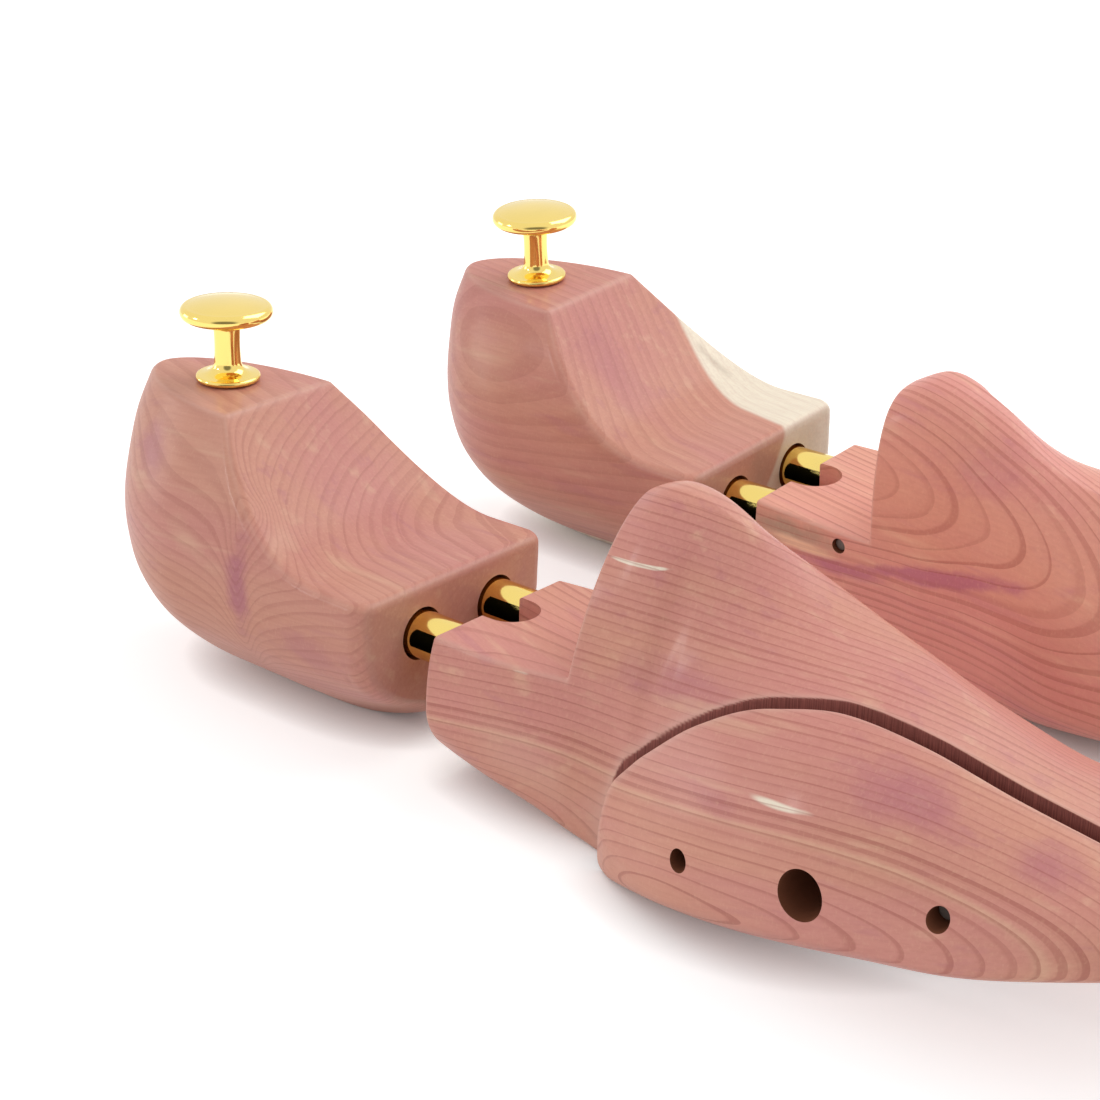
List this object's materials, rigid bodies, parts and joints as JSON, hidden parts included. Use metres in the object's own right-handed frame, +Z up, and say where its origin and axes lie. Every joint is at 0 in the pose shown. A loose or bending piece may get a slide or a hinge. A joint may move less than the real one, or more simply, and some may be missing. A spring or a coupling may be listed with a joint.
{
  "type": "pair of shoe trees",
  "caption": "Wooden shoe trees, left and right: a scooped heel block with a round pull knob slides on sprung brass tubes, and the split-off side of the forefoot is pressed outward.",
  "frame": {"origin": "on the table plane, under the middle of the pair's bounding box", "axes": "+X from the heels to the toes along both trees, +Y from the right foot's tree to the left foot's, +Z up"},
  "size_m": [0.2845, 0.1752, 0.0791],
  "materials": {
    "cedar": "sanded and lightly waxed aromatic red cedar",
    "polished_brass": "polished and lacquered",
    "zinc_steel": "bright zinc plating",
    "nylon": "natural"
  },
  "bodies": {
    "right_forefoot": {"right_outer_tube": "polished_brass", "right_inner_tube": "polished_brass", "right_outer_tube_bush": "nylon", "right_inner_tube_bush": "nylon", "right_forefoot_block": "cedar", "right_rear_guide_pin": "zinc_steel", "right_front_guide_pin": "zinc_steel", "right_side_spring": "zinc_steel", "right_side_screw": "zinc_steel", "right_side_washer": "zinc_steel", "right_cross_pin": "zinc_steel"},
    "right_heel": {"right_heel_block": "cedar", "right_knob": "polished_brass", "right_knob_stud": "zinc_steel", "right_outer_guide_rod": "zinc_steel", "right_inner_guide_rod": "zinc_steel", "right_outer_stop_collar": "zinc_steel", "right_inner_stop_collar": "zinc_steel", "right_outer_heel_spring": "zinc_steel", "right_inner_heel_spring": "zinc_steel"},
    "right_side": {"right_side_piece": "cedar"},
    "left_forefoot": {"left_outer_tube": "polished_brass", "left_inner_tube": "polished_brass", "left_outer_tube_bush": "nylon", "left_inner_tube_bush": "nylon", "left_forefoot_block": "cedar", "left_rear_guide_pin": "zinc_steel", "left_front_guide_pin": "zinc_steel", "left_side_spring": "zinc_steel", "left_side_screw": "zinc_steel", "left_side_washer": "zinc_steel", "left_cross_pin": "zinc_steel"},
    "left_heel": {"left_heel_block": "cedar", "left_knob": "polished_brass", "left_knob_stud": "zinc_steel", "left_outer_guide_rod": "zinc_steel", "left_inner_guide_rod": "zinc_steel", "left_outer_stop_collar": "zinc_steel", "left_inner_stop_collar": "zinc_steel", "left_outer_heel_spring": "zinc_steel", "left_inner_heel_spring": "zinc_steel"},
    "left_side": {"left_side_piece": "cedar"}
  },
  "joints": [
    {"name": "left_tree_lift", "type": "slide", "parent": "right_forefoot", "child": "left_forefoot", "axis": [0, 0, 1], "range_m": [0, 0.13]},
    {"name": "right_heel_slide", "type": "slide", "parent": "right_forefoot", "child": "right_heel", "axis": [1, 0, 0], "range_m": [0, 0.0105], "stiffness_N_per_m": 2400, "springref_m": -0.005, "deforming": ["right_outer_heel_spring", "right_inner_heel_spring"]},
    {"name": "left_heel_slide", "type": "slide", "parent": "left_forefoot", "child": "left_heel", "axis": [1, 0, 0], "range_m": [0, 0.0105], "stiffness_N_per_m": 2400, "springref_m": -0.005, "deforming": ["left_outer_heel_spring", "left_inner_heel_spring"]},
    {"name": "right_side_slide", "type": "slide", "parent": "right_forefoot", "child": "right_side", "axis": [-0.1045, 0.9937, -0.0399], "range_m": [0, 0.0036], "stiffness_N_per_m": 3000, "springref_m": -0.0015, "deforming": ["right_side_spring"]},
    {"name": "left_side_slide", "type": "slide", "parent": "left_forefoot", "child": "left_side", "axis": [-0.1045, -0.9937, -0.0399], "range_m": [0, 0.0036], "stiffness_N_per_m": 3000, "springref_m": -0.0015, "deforming": ["left_side_spring"]}
  ]
}
